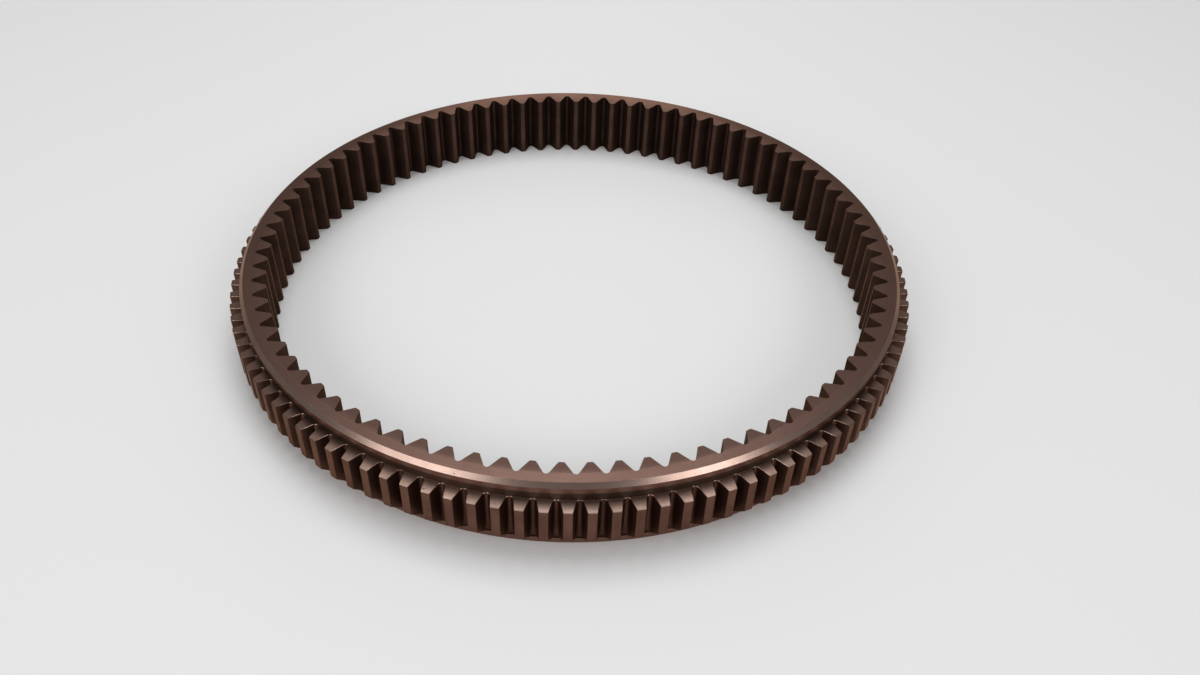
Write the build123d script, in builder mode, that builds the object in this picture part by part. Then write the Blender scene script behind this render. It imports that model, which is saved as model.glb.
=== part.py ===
from build123d import *
from math import cos, pi, radians, sin, tan
import os

os.makedirs("parts", exist_ok=True)

# Internal ring gear: one steel ring with gear teeth cut inside it and spline teeth cut
# outside it. It lies flat on z = 0 with its axis on Z. Sizes are in mm, angles in degrees.

# Internal teeth: 8 diametral pitch, stub depth, cut right through the ring
inner_teeth = 84
inner_module = 3.175
inner_addendum = 0.8 * inner_module
inner_dedendum = 1.0 * inner_module
inner_flank_angle = 28.5
inner_backlash = 0.06

# Shallow bevel that falls from the land to the internal tips
end_bevel_start = 0.7
end_bevel_drop = 0.4

# External teeth: straight flanks and fully rounded gaps
outer_teeth = 112
outer_tooth_depth = 5.7
outer_tip_land = 3.2
outer_flank_angle = 14.5

# Plain rim of the collar's diameter that closes the external gaps at the foot. The teeth
# rise from it with a 45 degree lead-in.
foot_band = 2.3

# Each gap's round is drawn as this many flats, all of them tangent to it
round_flats = 3

# Turned ring
ring_height = 30.15
rim_wall = 4.7
collar_step = 0.6
collar_chamfer = 1.6
collar_band = 2.35
groove_height = 3.85
groove_relief = 0.15

# Radii, from the bore outwards
inner_pitch_radius = inner_teeth * inner_module / 2
inner_tip_radius = inner_pitch_radius - inner_addendum
inner_root_radius = inner_pitch_radius + inner_dedendum
end_bevel_radius = inner_root_radius - end_bevel_start
outer_root_radius = inner_root_radius + rim_wall
groove_radius = outer_root_radius - groove_relief
collar_radius = outer_root_radius + collar_step
foot_radius = collar_radius
outer_tip_radius = outer_root_radius + outer_tooth_depth

# Heights, from the top face down
collar_top = ring_height - collar_chamfer
collar_bottom = collar_top - collar_band
tooth_top = collar_bottom - groove_height
lead_in_top = foot_band + outer_tip_radius - foot_radius

# Half widths of the gaps at their mouths, across each gap's centre line
inner_gap_at_pitch = (pi * inner_module / 2 - inner_backlash) / 2
inner_gap_mouth = inner_gap_at_pitch + inner_addendum * tan(radians(inner_flank_angle))
outer_gap_mouth = pi * outer_tip_radius / outer_teeth - outer_tip_land / 2

# How far each gap's outline stands clear of the tips that it opens through
gap_overshoot = 1.0


def tooth_gap(mouth_radius, bottom_radius, mouth_half_width, flank_angle):
    """One gap along +X: straight flanks that lean in from the mouth to a full round."""
    lean = radians(flank_angle)
    away = 1 if bottom_radius > mouth_radius else -1
    depth = abs(bottom_radius - mouth_radius)
    round_radius = (mouth_half_width * cos(lean) - depth * sin(lean)) / (1 - sin(lean))
    centre_x = bottom_radius - away * round_radius

    # Corners between the flats, from the flank on one side to the flank on the other
    half_turn = pi / 2 - lean
    corner_radius = round_radius / cos(half_turn / (round_flats + 1))
    corners = []
    for step in range(round_flats + 1):
        turn = half_turn * (1 - (2 * step + 1) / (round_flats + 1))
        corner_x = centre_x + away * corner_radius * cos(turn)
        corners.append((corner_x, corner_radius * sin(turn)))

    open_x = mouth_radius - away * gap_overshoot
    open_y = mouth_half_width + gap_overshoot * tan(lean)
    with BuildSketch() as gap:
        with BuildLine():
            Polyline((open_x, open_y), *corners, (open_x, -open_y), close=True)
        make_face()
    return gap.sketch


inner_gap = tooth_gap(inner_tip_radius, inner_root_radius, inner_gap_mouth, inner_flank_angle)
outer_gap = tooth_gap(outer_tip_radius, outer_root_radius, outer_gap_mouth, outer_flank_angle)

with BuildPart() as ring_gear:
    # One turned section holds every round face of the blank
    with BuildSketch(Plane.XZ):
        with BuildLine():
            Polyline(
                (inner_tip_radius, 0),
                (foot_radius, 0),
                (foot_radius, foot_band),
                (outer_tip_radius, lead_in_top),
                (outer_tip_radius, tooth_top),
                (groove_radius, tooth_top),
                (groove_radius, collar_bottom),
                (collar_radius, collar_bottom),
                (collar_radius, collar_top),
                (collar_radius - collar_chamfer, ring_height),
                (end_bevel_radius, ring_height),
                (inner_tip_radius, ring_height - end_bevel_drop),
                close=True,
            )
        make_face()
    revolve(axis=Axis.Z)

    # The external gaps stand on the foot rim and run out into the groove, below the collar
    with BuildSketch(Plane.XY.offset(foot_band)):
        with PolarLocations(0, outer_teeth, start_angle=180 / outer_teeth):
            add(outer_gap)
    extrude(amount=tooth_top - foot_band + groove_height / 2, mode=Mode.SUBTRACT)

    # The internal gaps run through both faces
    with BuildSketch():
        with PolarLocations(0, inner_teeth):
            add(inner_gap)
    extrude(amount=ring_height, mode=Mode.SUBTRACT)

ring_gear.part.label = "ring_gear"
export_step(ring_gear.part, "parts/ring_gear.step")

print("tip radii", round(inner_tip_radius, 3), round(outer_tip_radius, 3))
print("volume mm3", round(ring_gear.part.volume), "solids", len(ring_gear.part.solids()))
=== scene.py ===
from math import acos, asin, atan2, cos, hypot, pi, radians, sin

import bmesh
import bpy
from mathutils import Matrix, Vector


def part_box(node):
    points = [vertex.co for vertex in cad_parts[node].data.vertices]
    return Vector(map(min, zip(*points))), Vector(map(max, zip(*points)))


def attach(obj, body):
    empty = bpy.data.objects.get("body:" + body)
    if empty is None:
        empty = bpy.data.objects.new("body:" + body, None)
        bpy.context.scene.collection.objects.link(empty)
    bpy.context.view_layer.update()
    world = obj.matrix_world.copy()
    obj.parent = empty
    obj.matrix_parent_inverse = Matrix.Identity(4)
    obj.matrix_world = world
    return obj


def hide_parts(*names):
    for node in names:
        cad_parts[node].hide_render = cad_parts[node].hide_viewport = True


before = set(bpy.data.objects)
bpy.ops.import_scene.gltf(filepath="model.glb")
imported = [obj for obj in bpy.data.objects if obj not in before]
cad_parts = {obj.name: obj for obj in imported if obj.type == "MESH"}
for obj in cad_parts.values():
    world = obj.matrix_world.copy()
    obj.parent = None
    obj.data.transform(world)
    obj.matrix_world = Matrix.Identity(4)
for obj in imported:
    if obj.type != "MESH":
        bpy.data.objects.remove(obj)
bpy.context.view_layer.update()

MM = 0.001
AXIS = (0.0, 0.0, 1.0)
CENTRE = (0.0, 0.0, 0.0)

# ---------------------------------------------------------------- sizes of the ring

# The ring keeps this far inside the CAD box, so that rounding can't carry it out
INSIDE_BOX = 0.001 * MM
ring_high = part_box("ring_gear")[1]
RING_HEIGHT = ring_high.z - INSIDE_BOX
OUTER_TIP = ring_high.x - INSIDE_BOX

# Both tooth rows repeat on one ring of equal steps: 8 to an internal pitch, 6 to an external
INNER_TEETH = 84
OUTER_TEETH = 112
RING_STEPS = 672
INNER_STEPS = RING_STEPS // INNER_TEETH
OUTER_STEPS = RING_STEPS // OUTER_TEETH

# A gap's mouth is half the width between its two corners at the tips
INNER_TIP = 130.81 * MM
INNER_ROOT = 136.525 * MM
INNER_GAP_MOUTH = 3.843 * MM
INNER_LEAN = radians(28.5)
END_BEVEL_DROP = 0.4 * MM

OUTER_TOOTH_DEPTH = 5.7 * MM
OUTER_HALF_LAND = 1.6 * MM
OUTER_ROOT = OUTER_TIP - OUTER_TOOTH_DEPTH
OUTER_GAP_MOUTH = pi * OUTER_TIP / OUTER_TEETH - OUTER_HALF_LAND
OUTER_LEAN = radians(14.5)

# The plain land starts a little outside the bottoms of the internal gaps
LAND_MARGIN = 0.9 * MM
LAND_INSIDE = INNER_ROOT + LAND_MARGIN

COLLAR_STEP = 0.6 * MM
COLLAR_CHAMFER = 1.6 * MM
COLLAR_BAND = 2.35 * MM
GROOVE_RELIEF = 0.15 * MM
GROOVE_HEIGHT = 3.85 * MM
FOOT_BAND = 2.3 * MM
COLLAR_RADIUS = OUTER_ROOT + COLLAR_STEP
GROOVE_RADIUS = OUTER_ROOT - GROOVE_RELIEF
FOOT_RADIUS = COLLAR_RADIUS
COLLAR_TOP = RING_HEIGHT - COLLAR_CHAMFER
COLLAR_BOTTOM = COLLAR_TOP - COLLAR_BAND
TOOTH_TOP = COLLAR_BOTTOM - GROOVE_HEIGHT

# Broken edges: the external tips' top edge, the internal tips' corners, all other sharp edges
TIP_BEVEL = 0.22 * MM
CORNER_ROUND = 0.3 * MM
EDGE_BREAK = 0.1 * MM
CORNER_ANGLE = radians(40)
SHARP_ANGLE = radians(50)
SMOOTH_ANGLE = radians(30)

# Dents from handling, one on a tooth's end and one on the chamfer: bearing in degrees, radius,
# height, half width and depth. A dent's walls run in over most of its half width
CHAMFER_DENT_RADIUS = 141.3 * MM
DENTS = (
    (-119.33, 145.35 * MM, TOOTH_TOP, 0.55 * MM, 0.42 * MM),
    (-115.4, CHAMFER_DENT_RADIUS, COLLAR_TOP + COLLAR_RADIUS - CHAMFER_DENT_RADIUS,
     0.2 * MM, 0.15 * MM),
)
DENT_SIDES = 8
DENT_WALL = 0.85

# How near two vertices are when they count as one, and the same for a plane's cut
WELD = 0.04 * MM
CUT_WELD = 0.0001 * MM

# Upward share of a face's normal: a face below WALL is a wall, above SLOPE it looks up, and
# above LEVEL it is level
WALL = 0.3
SLOPE = 0.5
LEVEL = 0.9


def round_of_gap(tip, root, gap_mouth, lean):
    """Radius of the full round that touches both flanks and the bottom of a gap."""
    return (gap_mouth * cos(lean) - abs(root - tip) * sin(lean)) / (1 - sin(lean))


INNER_ROUND = round_of_gap(INNER_TIP, INNER_ROOT, INNER_GAP_MOUTH, INNER_LEAN)
OUTER_ROUND = round_of_gap(OUTER_TIP, OUTER_ROOT, OUTER_GAP_MOUTH, OUTER_LEAN)

# The end bevel starts where the flanks run into the rounds
END_BEVEL_RADIUS = hypot(
    INNER_ROOT - INNER_ROUND * (1 - sin(INNER_LEAN)), INNER_ROUND * cos(INNER_LEAN)
)

# Turn from the bottom of an external gap to where its round crosses the foot rim
ROUND_MIDDLE = OUTER_ROOT + OUTER_ROUND
FOOT_TURN = acos(
    (ROUND_MIDDLE ** 2 + OUTER_ROUND ** 2 - FOOT_RADIUS ** 2) / (2 * ROUND_MIDDLE * OUTER_ROUND)
)
FOOT_CROSSING = asin(OUTER_ROUND * sin(FOOT_TURN) / FOOT_RADIUS)

# A row of teeth: how many, tip, root, gap mouth, lean of the flanks, and the turns that make up
# the round with the steps in each
INNER_ROW = (INNER_TEETH, INNER_TIP, INNER_ROOT, INNER_GAP_MOUTH, INNER_LEAN,
             ((pi / 2 - INNER_LEAN, 4),))
OUTER_ROW = (OUTER_TEETH, OUTER_TIP, OUTER_ROOT, OUTER_GAP_MOUTH, OUTER_LEAN,
             ((FOOT_TURN, 3), (pi / 2 - OUTER_LEAN - FOOT_TURN, 2)))
FLANK_STEPS = 2


# ---------------------------------------------------------------- the ring's mesh


def reach(vert):
    """Distance of a vertex from the ring's axis."""
    return hypot(vert.co.x, vert.co.y)


def on_circle(edge, circle):
    """Whether both ends of an edge lie at this distance from the axis."""
    return all(abs(reach(v) - circle) < WELD for v in edge.verts)


def arc(bm, vert, centre, angle, steps=1):
    """Draws an arc from a vertex about an upright axis and returns its last vertex."""
    step_turn = Matrix.Rotation(angle / steps, 3, "Z")
    for _ in range(steps):
        vert = bmesh.ops.extrude_vert_indiv(bm, verts=[vert])["verts"][0]
        bmesh.ops.rotate(bm, verts=[vert], cent=centre, matrix=step_turn)
    return vert


def line_to(bm, vert, end, steps=1):
    """Draws a straight line from a vertex in equal steps and returns its last vertex."""
    stride = (end - vert.co) / steps
    for _ in range(steps):
        vert = bmesh.ops.extrude_vert_indiv(bm, verts=[vert])["verts"][0]
        bmesh.ops.translate(bm, verts=[vert], vec=stride)
    return vert


def half_tooth(bm, row):
    """Draws half a tooth: from the bottom of the gap beside it, up the round and the straight
    flank, to the middle of the tip on +X. Returns the vertices at the bottom and the shoulder."""
    teeth, tip, root, gap_mouth, lean, turns = row
    to_gap = Matrix.Rotation(pi / teeth, 4, "Z")
    away = 1 if root > tip else -1
    round_centre = to_gap @ Vector((root - away * round_of_gap(tip, root, gap_mouth, lean), 0, 0))
    corner_x = (tip * tip - gap_mouth * gap_mouth) ** 0.5
    bottom = bm.verts.new(to_gap @ Vector((root, 0, 0)))
    shoulder = bottom
    for turn, steps in turns:
        shoulder = arc(bm, shoulder, round_centre, -away * turn, steps)
    corner = line_to(bm, shoulder, to_gap @ Vector((corner_x, -gap_mouth, 0)), FLANK_STEPS)
    arc(bm, corner, CENTRE, -atan2(corner.co.y, corner.co.x))
    return bottom, shoulder


def fill_tooth(bm):
    """Mirrors half a tooth's drawing across the X axis and fills it with flat faces."""
    bmesh.ops.mirror(bm, geom=bm.verts[:] + bm.edges[:], axis="Y", merge_dist=WELD)
    bmesh.ops.edgenet_fill(bm, edges=bm.edges)


def repeat_teeth(bm, teeth):
    """Repeats one tooth's flat faces round the axis."""
    bmesh.ops.spin(
        bm, geom=bm.verts[:] + bm.edges[:] + bm.faces[:], cent=CENTRE, axis=AXIS,
        dvec=CENTRE, angle=2 * pi * (teeth - 1) / teeth, steps=teeth - 1, use_duplicate=True,
        use_merge=False, use_normal_flip=False,
    )
    bmesh.ops.remove_doubles(bm, verts=bm.verts, dist=WELD)


def end_face(row, circle, circle_steps, bevelled):
    """A flat ring between a row of teeth and a plain circle, with one tooth on +X."""
    bm = bmesh.new()
    half_pitch = pi / row[0]
    bottom, shoulder = half_tooth(bm, row)
    shoulder_reach = reach(shoulder)
    rim = line_to(bm, bottom, Matrix.Rotation(half_pitch, 4, "Z") @ Vector((circle, 0, 0)))
    arc(bm, rim, CENTRE, -half_pitch, circle_steps // 2)
    fill_tooth(bm)
    if bevelled:
        shoulders = [v for v in bm.verts if abs(reach(v) - shoulder_reach) < WELD]
        bmesh.ops.connect_verts(bm, verts=shoulders)
    repeat_teeth(bm, row[0])
    return bm


def foot_faces(row, circle, crossing):
    """The faces on both sides of the foot circle: under the teeth outside it, and in the gaps
    inside it."""
    bm = bmesh.new()
    half_pitch = pi / row[0]
    two_steps = 4 * pi / RING_STEPS
    bottom, _ = half_tooth(bm, row)
    rim = line_to(bm, bottom, Matrix.Rotation(half_pitch, 4, "Z") @ Vector((circle, 0, 0)))
    crossed = arc(bm, rim, CENTRE, -crossing)
    beside_crossing = arc(bm, crossed, CENTRE, crossing - two_steps)
    arc(bm, beside_crossing, CENTRE, two_steps - half_pitch)
    bmesh.ops.remove_doubles(bm, verts=bm.verts, dist=WELD)
    fill_tooth(bm)
    repeat_teeth(bm, row[0])
    return bm


def outline_edges(bm, circle):
    """The open edges of a flat sheet that lie on its row of teeth, not on its plain circle."""
    return [e for e in bm.edges if e.is_boundary and not on_circle(e, circle)]


def set_heights(bm, height):
    """Lifts each vertex to the height that belongs to its distance from the axis."""
    for vert in bm.verts:
        vert.co.z = height(reach(vert))


def join_parts(parts):
    """Joins separate meshes into one with their shared vertices welded."""
    joined = bmesh.new()
    for part in parts:
        mesh = bpy.data.meshes.new("part")
        part.to_mesh(mesh)
        part.free()
        joined.from_mesh(mesh)
        bpy.data.meshes.remove(mesh)
    bmesh.ops.remove_doubles(joined, verts=joined.verts, dist=WELD)
    return joined


def tooth_row(top, bottom, top_circle, bottom_circle):
    """Raises the tooth walls between a row's top sheet and its bottom sheet."""
    top_count = len(outline_edges(top, top_circle))
    row = join_parts([top, bottom])
    edges = [
        e for e in outline_edges(row, top_circle)
        if not (on_circle(e, bottom_circle) and all(v.co.z < TOOTH_TOP / 2 for v in e.verts))
    ]
    assert len(edges) == 2 * top_count
    bmesh.ops.bridge_loops(row, edges=edges)
    return row


def turned_band(section):
    """Turns an open section, given as radius and height pairs, into a band of the ring."""
    bm = bmesh.new()
    vert = bm.verts.new((section[0][0], 0, section[0][1]))
    for radius, height in section[1:]:
        vert = line_to(bm, vert, Vector((radius, 0, height)))
    bmesh.ops.spin(
        bm, geom=bm.verts[:] + bm.edges[:], cent=CENTRE, axis=AXIS, dvec=CENTRE,
        angle=2 * pi, steps=RING_STEPS, use_merge=True, use_normal_flip=False,
        use_duplicate=False,
    )
    return bm


def inner_teeth():
    """The internal row, with the ends of its teeth bevelled at the top."""
    slope = END_BEVEL_DROP / (END_BEVEL_RADIUS - INNER_TIP)
    top = end_face(INNER_ROW, LAND_INSIDE, INNER_STEPS, True)
    set_heights(top, lambda at: RING_HEIGHT - slope * max(0.0, END_BEVEL_RADIUS - at))
    bottom = end_face(INNER_ROW, LAND_INSIDE, INNER_STEPS, True)
    row = tooth_row(top, bottom, LAND_INSIDE, LAND_INSIDE)
    half_pitch_turn = Matrix.Rotation(pi / INNER_TEETH, 3, "Z")
    bmesh.ops.rotate(row, verts=row.verts, cent=CENTRE, matrix=half_pitch_turn)
    return row


def outer_teeth():
    """The external row, with the lead-in under its teeth and the foot rim that closes its gaps."""
    top = end_face(OUTER_ROW, GROOVE_RADIUS, OUTER_STEPS, False)
    set_heights(top, lambda at: TOOTH_TOP)
    foot = foot_faces(OUTER_ROW, FOOT_RADIUS, FOOT_CROSSING)
    set_heights(foot, lambda at: FOOT_BAND + max(0.0, at - FOOT_RADIUS))
    row = tooth_row(top, foot, GROOVE_RADIUS, FOOT_RADIUS)
    foot_circle = [e for e in row.edges if e.is_boundary and on_circle(e, FOOT_RADIUS)]
    made = bmesh.ops.extrude_edge_only(row, edges=foot_circle)["geom"]
    for vert in [v for v in made if isinstance(v, bmesh.types.BMVert)]:
        vert.co.z = 0.0
    return row


def ring_mesh():
    """The whole ring, closed, before its edges are broken."""
    upper = turned_band((
        (LAND_INSIDE, RING_HEIGHT), (COLLAR_RADIUS - COLLAR_CHAMFER, RING_HEIGHT),
        (COLLAR_RADIUS, COLLAR_TOP), (COLLAR_RADIUS, COLLAR_BOTTOM),
        (GROOVE_RADIUS, COLLAR_BOTTOM), (GROOVE_RADIUS, TOOTH_TOP),
    ))
    ring = join_parts([inner_teeth(), outer_teeth(), upper])
    bmesh.ops.bridge_loops(ring, edges=[e for e in ring.edges if e.is_boundary])
    bmesh.ops.recalc_face_normals(ring, faces=ring.faces)
    return ring


def bevel_edges(bm, edges, width, segments):
    """Breaks edges and returns the new narrow faces."""
    made = bmesh.ops.bevel(
        bm, geom=edges, offset=width, offset_type="OFFSET", segments=segments, profile=0.5,
        affect="EDGES", clamp_overlap=True, material=-1,
    )
    return made["faces"]


def break_edges(ring):
    """Bevels the tips of the external teeth, rounds the corners of the internal ones, gives each
    face its finish, then breaks every sharp outer edge."""
    tips = [
        e for e in ring.edges
        if on_circle(e, OUTER_TIP) and all(abs(v.co.z - TOOTH_TOP) < WELD for v in e.verts)
    ]
    bevel_edges(ring, tips, TIP_BEVEL, 1)
    corners = [
        e for e in ring.edges
        if on_circle(e, INNER_TIP) and e.calc_face_angle_signed(0.0) > CORNER_ANGLE
        and e.calc_length() > RING_HEIGHT / 2
    ]
    bevel_edges(ring, corners, CORNER_ROUND, 2)
    outer_edges = [e for e in ring.edges if e.calc_face_angle_signed(0.0) > SHARP_ANGLE]
    for face in ring.faces:
        face.material_index = FINISH_ORDER.index(finish_of(face))
    for strip in bevel_edges(ring, outer_edges, EDGE_BREAK, 1):
        strip.material_index = FINISH_ORDER.index(finish_of_strip(strip))


def face_over(faces, point):
    """The first of these faces that holds a point."""
    return next(f for f in faces if bmesh.geometry.intersect_face_point(f, point))


def sink_dent(ring, bearing, radius, height, half_width, depth):
    """Cuts a many-sided outline into the face at a point and sinks what is inside it."""
    middle = Matrix.Rotation(radians(bearing), 3, "Z") @ Vector((radius, 0, height))
    face = face_over([
        f for f in ring.faces
        if f.normal.z > SLOPE and abs(f.calc_center_median().z - height) < MM
    ], middle)
    for side in range(DENT_SIDES):
        outward = Matrix.Rotation(2 * pi * side / DENT_SIDES, 3, "Z") @ Vector((1, 0, 0))
        cut = bmesh.ops.bisect_plane(
            ring, geom=[face, *face.edges, *face.verts], dist=CUT_WELD,
            plane_co=middle + outward * half_width, plane_no=outward,
        )
        face = face_over([f for f in cut["geom"] if isinstance(f, bmesh.types.BMFace)], middle)
    bmesh.ops.inset_individual(
        ring, faces=[face], thickness=DENT_WALL * half_width, depth=-depth
    )


# ---------------------------------------------------------------- which finish goes where

FINISH_ORDER = ("land", "chamfer", "collar wall", "groove", "spline ends", "spline tips",
                "spline gaps", "foot", "gear tips", "gear gaps", "edges")


def finish_of(face):
    """Picks the finish of a face from where it lies on the ring and which way it looks."""
    middle = face.calc_center_median()
    at, up = hypot(middle.x, middle.y), face.normal.z
    wall = abs(up) < WALL
    if at < INNER_ROOT + WELD and wall:
        return "gear tips" if at < INNER_TIP + WELD else "gear gaps"
    if middle.z > COLLAR_TOP and up > LEVEL:
        return "land"
    if middle.z > COLLAR_TOP:
        return "chamfer"
    if middle.z > COLLAR_BOTTOM + WELD and wall:
        return "collar wall"
    if middle.z > TOOTH_TOP + WELD:
        return "groove"
    if middle.z > TOOTH_TOP - TIP_BEVEL - WELD and up > WALL:
        return "spline ends"
    if wall and at > OUTER_TIP - WELD:
        return "spline tips"
    if wall and middle.z > FOOT_BAND + WELD:
        return "spline gaps"
    return "foot"


def finish_of_strip(strip):
    """Picks the finish of an edge strip: burnished along the top of the external teeth and on
    the collar's lower edge, and elsewhere that of the brighter face beside it."""
    middle = strip.calc_center_median()
    if hypot(middle.x, middle.y) > OUTER_ROOT - WELD:
        if abs(middle.z - TOOTH_TOP) < TIP_BEVEL + WELD or middle.z > COLLAR_BOTTOM - WELD:
            return "edges"
        return "foot" if middle.z < FOOT_BAND + WELD else "spline tips"
    return "land" if middle.z > COLLAR_TOP else "gear tips"


# ---------------------------------------------------------------- steel finishes

# Colour that the steel keeps when it is seen at a grazing angle
GRAZING_TINT = (0.75, 0.6, 0.5)

# Painted light on the tooth ends: they keep their own tints on this side of the ring, where the
# lamps light them best, and take a painted shade between these two distances from its middle
# towards that side
LIT_SIDE = (-0.16, -0.987, 0.0)
PAINTED_SHADE_FROM = 130 * MM
PAINTED_SHADE_TO = 108 * MM

# How many times the stains and the grit repeat in a metre
STAINS_A_METRE = 70.0
GRIT_A_METRE = 2200.0

# How little a tool's lines change along its path: round the ring for turning, and up the teeth
# for shaping
TURNED_CHANGE = 0.0002
SHAPED_CHANGE = 0.02


def connect(links, value, socket):
    """Links one socket to another, or sets the socket to a plain value."""
    if isinstance(value, bpy.types.NodeSocket):
        links.new(value, socket)
    else:
        socket.default_value = value


def math_node(nodes, links, operation, first, second=None):
    """The result of a sum on one or two numbers or sockets."""
    node = nodes.new("ShaderNodeMath")
    node.operation = operation
    connect(links, first, node.inputs[0])
    if second is not None:
        connect(links, second, node.inputs[1])
    return node.outputs[0]


def stretch(nodes, links, value, from_range=(0.0, 1.0), to_range=(0.0, 1.0)):
    """Maps a socket's values from one range onto another and clips them there."""
    node = nodes.new("ShaderNodeMapRange")
    node.inputs["From Min"].default_value, node.inputs["From Max"].default_value = from_range
    node.inputs["To Min"].default_value, node.inputs["To Max"].default_value = to_range
    links.new(value, node.inputs["Value"])
    return node.outputs["Result"]


def noise(nodes, links, vector, scale, detail, harsh, spread):
    """A noise pattern stretched so that most of it runs from 0 to 1."""
    pattern = nodes.new("ShaderNodeTexNoise")
    pattern.inputs["Scale"].default_value = scale
    pattern.inputs["Detail"].default_value = detail
    pattern.inputs["Roughness"].default_value = harsh
    links.new(vector, pattern.inputs["Vector"])
    return stretch(nodes, links, pattern.outputs["Fac"], from_range=spread)


def blend(nodes, links, kind, amount, under, over):
    """Mixes two colours; each of amount, under and over is a value or a socket."""
    node = nodes.new("ShaderNodeMix")
    node.data_type = "RGBA"
    node.blend_type = kind
    connect(links, amount, node.inputs[0])
    for value, socket in ((under, node.inputs[6]), (over, node.inputs[7])):
        connect(links, (*value, 1.0) if isinstance(value, tuple) else value, socket)
    return node.outputs[2]


def turned_lines(nodes, links, place):
    """Coordinates in which a noise pattern is drawn out round the ring."""
    split = nodes.new("ShaderNodeSeparateXYZ")
    links.new(place, split.inputs[0])
    x, y, z = split.outputs
    x_squared = math_node(nodes, links, "MULTIPLY", x, x)
    y_squared = math_node(nodes, links, "MULTIPLY", y, y)
    both = math_node(nodes, links, "ADD", x_squared, y_squared)
    turn = math_node(nodes, links, "ARCTAN2", y, x)
    joined = nodes.new("ShaderNodeCombineXYZ")
    links.new(math_node(nodes, links, "SQRT", both), joined.inputs[0])
    links.new(math_node(nodes, links, "MULTIPLY", turn, TURNED_CHANGE), joined.inputs[1])
    links.new(z, joined.inputs[2])
    return joined.outputs[0]


def cutting_lines(nodes, links, place, lay):
    """Coordinates in which a noise pattern is drawn out along the tool's path."""
    if lay == "turned":
        return turned_lines(nodes, links, place)
    squeeze = nodes.new("ShaderNodeMapping")
    squeeze.inputs["Scale"].default_value = (1.0, 1.0, SHAPED_CHANGE if lay == "shaped" else 1.0)
    links.new(place, squeeze.inputs["Vector"])
    return squeeze.outputs["Vector"]


def away_from_lit_side(nodes, links, place):
    """0 on the lit side of the ring and 1 over the rest of it: how much painted shade a surface
    takes.
    """
    forward = nodes.new("ShaderNodeVectorMath")
    forward.operation = "DOT_PRODUCT"
    forward.inputs[1].default_value = LIT_SIDE
    links.new(place, forward.inputs[0])
    return stretch(nodes, links, forward.outputs["Value"], from_range=(PAINTED_SHADE_FROM, PAINTED_SHADE_TO))


def steel_finish(name, clean, stained, lay, pitch, roughness, depth, lined=0.1, grit=0.1,
                 painted_shade=None):
    """Machined steel: two tints that drift over the surface, the tool's lines across it, fine
    grit, and a roughness that follows the drift and the lines. Given a painted shade tint, it
    paints shade over the surface away from the lit side of the ring."""
    steel = bpy.data.materials.new(name)
    steel.use_nodes = True
    nodes, links = steel.node_tree.nodes, steel.node_tree.links
    shader = nodes["Principled BSDF"]
    shader.inputs["Metallic"].default_value = 1.0
    shader.inputs["Specular Tint"].default_value = (*GRAZING_TINT, 1.0)

    place = nodes.new("ShaderNodeTexCoord").outputs["Object"]
    lines = cutting_lines(nodes, links, place, lay)
    drift = noise(nodes, links, place, STAINS_A_METRE, 6.0, 0.65, (0.35, 0.65))
    scored = noise(nodes, links, lines, 1.0 / pitch, 3.0, 0.5, (0.3, 0.7))
    gritty = noise(nodes, links, place, GRIT_A_METRE, 3.0, 0.7, (0.3, 0.7))

    tint = blend(nodes, links, "MIX", drift, clean, stained)
    # Painted shade: the tint turns to the painted shade colour away from the lit side of the ring
    if painted_shade:
        painted_shade_share = away_from_lit_side(nodes, links, place)
        tint = blend(nodes, links, "MIX", painted_shade_share, tint, painted_shade)
    tint = blend(nodes, links, "MULTIPLY", lined, tint, scored)
    tint = blend(nodes, links, "MULTIPLY", grit, tint, gritty)
    links.new(tint, shader.inputs["Base Color"])

    half_drift = math_node(nodes, links, "MULTIPLY", drift, 0.5)
    half_scored = math_node(nodes, links, "MULTIPLY", scored, 0.5)
    mixed = math_node(nodes, links, "ADD", half_drift, half_scored)
    links.new(stretch(nodes, links, mixed, to_range=roughness), shader.inputs["Roughness"])

    little_grit = math_node(nodes, links, "MULTIPLY", gritty, grit)
    bump = nodes.new("ShaderNodeBump")
    bump.inputs["Distance"].default_value = depth
    bump.inputs["Strength"].default_value = 1.0
    links.new(math_node(nodes, links, "ADD", scored, little_grit), bump.inputs["Height"])
    links.new(bump.outputs["Normal"], shader.inputs["Normal"])
    return steel


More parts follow.
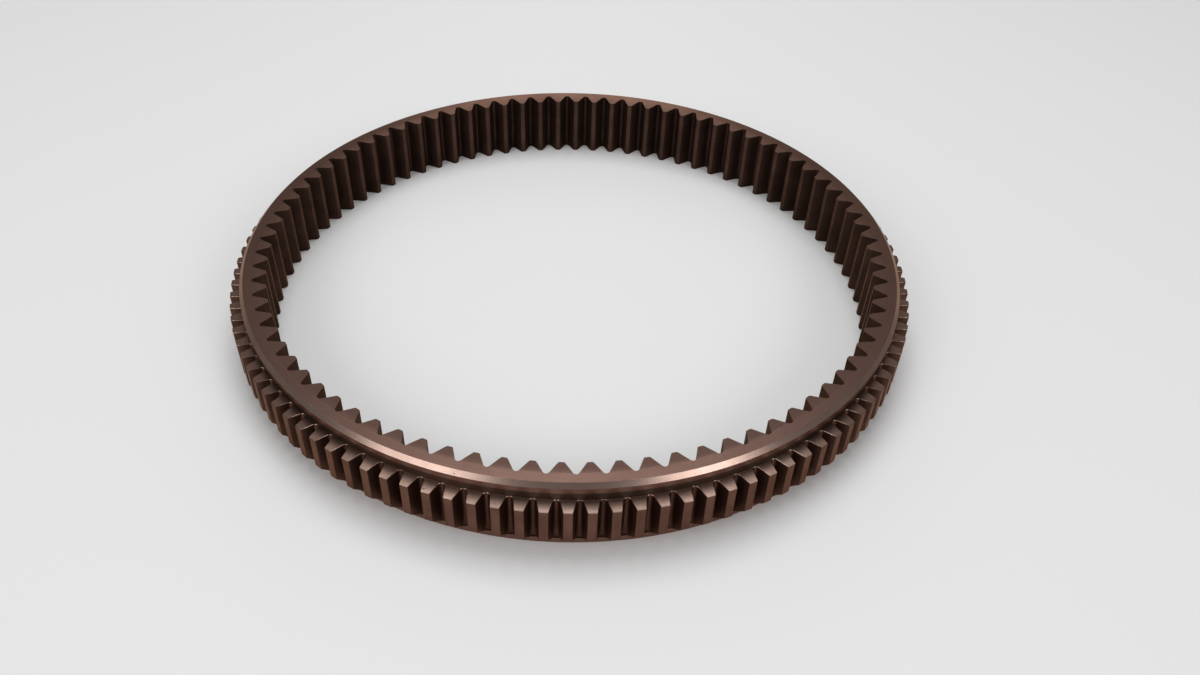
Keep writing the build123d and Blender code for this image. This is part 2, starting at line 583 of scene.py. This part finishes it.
FINISHES = {
    "land": steel_finish(
        "ground land", (0.209, 0.125, 0.101), (0.17, 0.099, 0.08), "turned", 0.16 * MM,
        (0.25, 0.34), 0.001 * MM, lined=0.08),
    "chamfer": steel_finish(
        "polished chamfer", (0.365, 0.255, 0.214), (0.3, 0.203, 0.169), "turned", 0.2 * MM,
        (0.22, 0.3), 0.0015 * MM, lined=0.12),
    "collar wall": steel_finish(
        "turned collar", (0.235, 0.124, 0.095), (0.177, 0.09, 0.068), "turned", 0.35 * MM,
        (0.30, 0.42), 0.004 * MM, lined=0.25),
    # Groove: tints darker than the collar wall above it, painting in the shade that falls in the
    # groove
    "groove": steel_finish(
        "groove with painted shade", (0.107, 0.07, 0.053), (0.072, 0.047, 0.036), "turned", 0.3 * MM,
        (0.45, 0.6), 0.004 * MM, lined=0.2),
    # Tooth ends: the third tint is painted shade, laid over all of them except those on the lit
    # side of the ring
    "spline ends": steel_finish(
        "satin tooth ends", (0.53, 0.375, 0.31), (0.4, 0.27, 0.215), "blasted", 0.6 * MM,
        (0.44, 0.54), 0.006 * MM, lined=0.1, grit=0.3, painted_shade=(0.169, 0.107, 0.086)),
    "spline tips": steel_finish(
        "turned tooth tips", (0.201, 0.103, 0.077), (0.144, 0.072, 0.054), "shaped", 0.4 * MM,
        (0.34, 0.48), 0.004 * MM, lined=0.22),
    # Tooth gaps: tints darker than the tips', painting in part of the shade that falls between the
    # teeth
    "spline gaps": steel_finish(
        "shaped tooth gaps with painted shade", (0.161, 0.083, 0.061), (0.104, 0.052, 0.038), "shaped", 0.5 * MM,
        (0.4, 0.55), 0.005 * MM, lined=0.22),
    "foot": steel_finish(
        "turned foot", (0.331, 0.191, 0.149), (0.246, 0.138, 0.107), "turned", 0.3 * MM,
        (0.4, 0.5), 0.004 * MM, lined=0.2),
    "gear tips": steel_finish(
        "gear tooth tips", (0.095, 0.054, 0.04), (0.064, 0.035, 0.026), "shaped", 0.4 * MM,
        (0.36, 0.5), 0.004 * MM, lined=0.2),
    # Gear gaps: tints darker than the tips', painting in part of the shade that falls between the
    # internal teeth
    "gear gaps": steel_finish(
        "gear tooth flanks with painted shade", (0.078, 0.043, 0.032), (0.05, 0.027, 0.02), "shaped", 0.5 * MM,
        (0.55, 0.68), 0.005 * MM, lined=0.22),
    "edges": steel_finish(
        "burnished edges", (0.46, 0.33, 0.27), (0.23, 0.14, 0.1), "blasted", 1.6 * MM,
        (0.25, 0.4), 0.002 * MM, lined=0.3),
}
assert tuple(FINISHES) == FINISH_ORDER

# ---------------------------------------------------------------- the ring


def place_object(name, data):
    """Makes an object at the origin and puts it in the scene."""
    made = bpy.data.objects.new(name, data)
    bpy.context.collection.objects.link(made)
    return made


ring = ring_mesh()
break_edges(ring)
for dent in DENTS:
    sink_dent(ring, *dent)
for face in ring.faces:
    face.smooth = True
ring_data = bpy.data.meshes.new("toothed_ring")
ring.to_mesh(ring_data)
ring.free()
ring_data.set_sharp_from_angle(angle=SMOOTH_ANGLE)
for finish in FINISHES.values():
    ring_data.materials.append(finish)
toothed_ring = place_object("toothed_ring", ring_data)
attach(toothed_ring, "root")
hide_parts("ring_gear")

# ---------------------------------------------------------------- floor, light and camera

FLOOR_HALF = 3.0
FLOOR_GREY = 0.8
FLOOR_ROUGHNESS = 0.6
ROOM_LIGHT = 0.3

# Soft boxes: name, bearing and height in degrees, distance, size and power
SOFT_BOXES = (
    ("high soft box", 80, 74, 1.6, 1.0, 12),
    ("left soft box", -144, 36, 1.6, 0.8, 6.8),
    ("right soft box", -57, 35, 1.6, 0.62, 5.2),
    ("back soft box", 80, 27, 1.8, 0.6, 1.5),
)

# The camera's place, and its turn in degrees: about the upright axis, up from straight down,
# and its roll
CAMERA_PLACE = (-0.05992, -0.34331, 0.27367)
CAMERA_TURN = -10.0284
CAMERA_TILT = 49.17
CAMERA_ROLL = 1.0087
CAMERA_LENS = 28.674
CAMERA_SENSOR = 36.0
CAMERA_SHIFT = 0.02448

floor_mesh = bmesh.new()
bmesh.ops.create_grid(floor_mesh, x_segments=1, y_segments=1, size=FLOOR_HALF)
floor_data = bpy.data.meshes.new("floor")
floor_mesh.to_mesh(floor_data)
floor_mesh.free()
floor_paint = bpy.data.materials.new("pale floor")
floor_paint.use_nodes = True
floor_shader = floor_paint.node_tree.nodes["Principled BSDF"]
floor_shader.inputs["Base Color"].default_value = (FLOOR_GREY, FLOOR_GREY, FLOOR_GREY, 1)
floor_shader.inputs["Roughness"].default_value = FLOOR_ROUGHNESS
floor_data.materials.append(floor_paint)
floor = place_object("floor", floor_data)

world = bpy.data.worlds.new("studio")
world.use_nodes = True
world.node_tree.nodes["Background"].inputs["Color"].default_value = (1, 1, 1, 1)
world.node_tree.nodes["Background"].inputs["Strength"].default_value = ROOM_LIGHT
bpy.context.scene.world = world


def soft_box(name, bearing, elevation, distance, size, power):
    """Hangs a square lamp at a bearing from the ring and aims it at the ring."""
    light = bpy.data.lights.new(name, "AREA")
    light.shape = "SQUARE"
    light.size = size
    light.energy = power
    lamp = place_object(name, light)
    away = Vector((
        cos(radians(elevation)) * cos(radians(bearing)),
        cos(radians(elevation)) * sin(radians(bearing)), sin(radians(elevation)),
    ))
    aim = away.to_track_quat("Z", "Y").to_matrix().to_4x4()
    lamp.matrix_world = Matrix.Translation(away * distance) @ aim


for box in SOFT_BOXES:
    soft_box(*box)

camera_data = bpy.data.cameras.new("camera")
camera_data.lens = CAMERA_LENS
camera_data.sensor_width = CAMERA_SENSOR
camera_data.shift_x = CAMERA_SHIFT
camera_data.clip_start = 10 * MM
camera = place_object("camera", camera_data)
camera.matrix_world = (
    Matrix.Translation(CAMERA_PLACE)
    @ Matrix.Rotation(radians(CAMERA_TURN), 4, "Z")
    @ Matrix.Rotation(radians(CAMERA_TILT), 4, "X")
    @ Matrix.Rotation(radians(CAMERA_ROLL), 4, "Z")
)
bpy.context.scene.camera = camera
bpy.context.scene.view_settings.view_transform = "Standard"
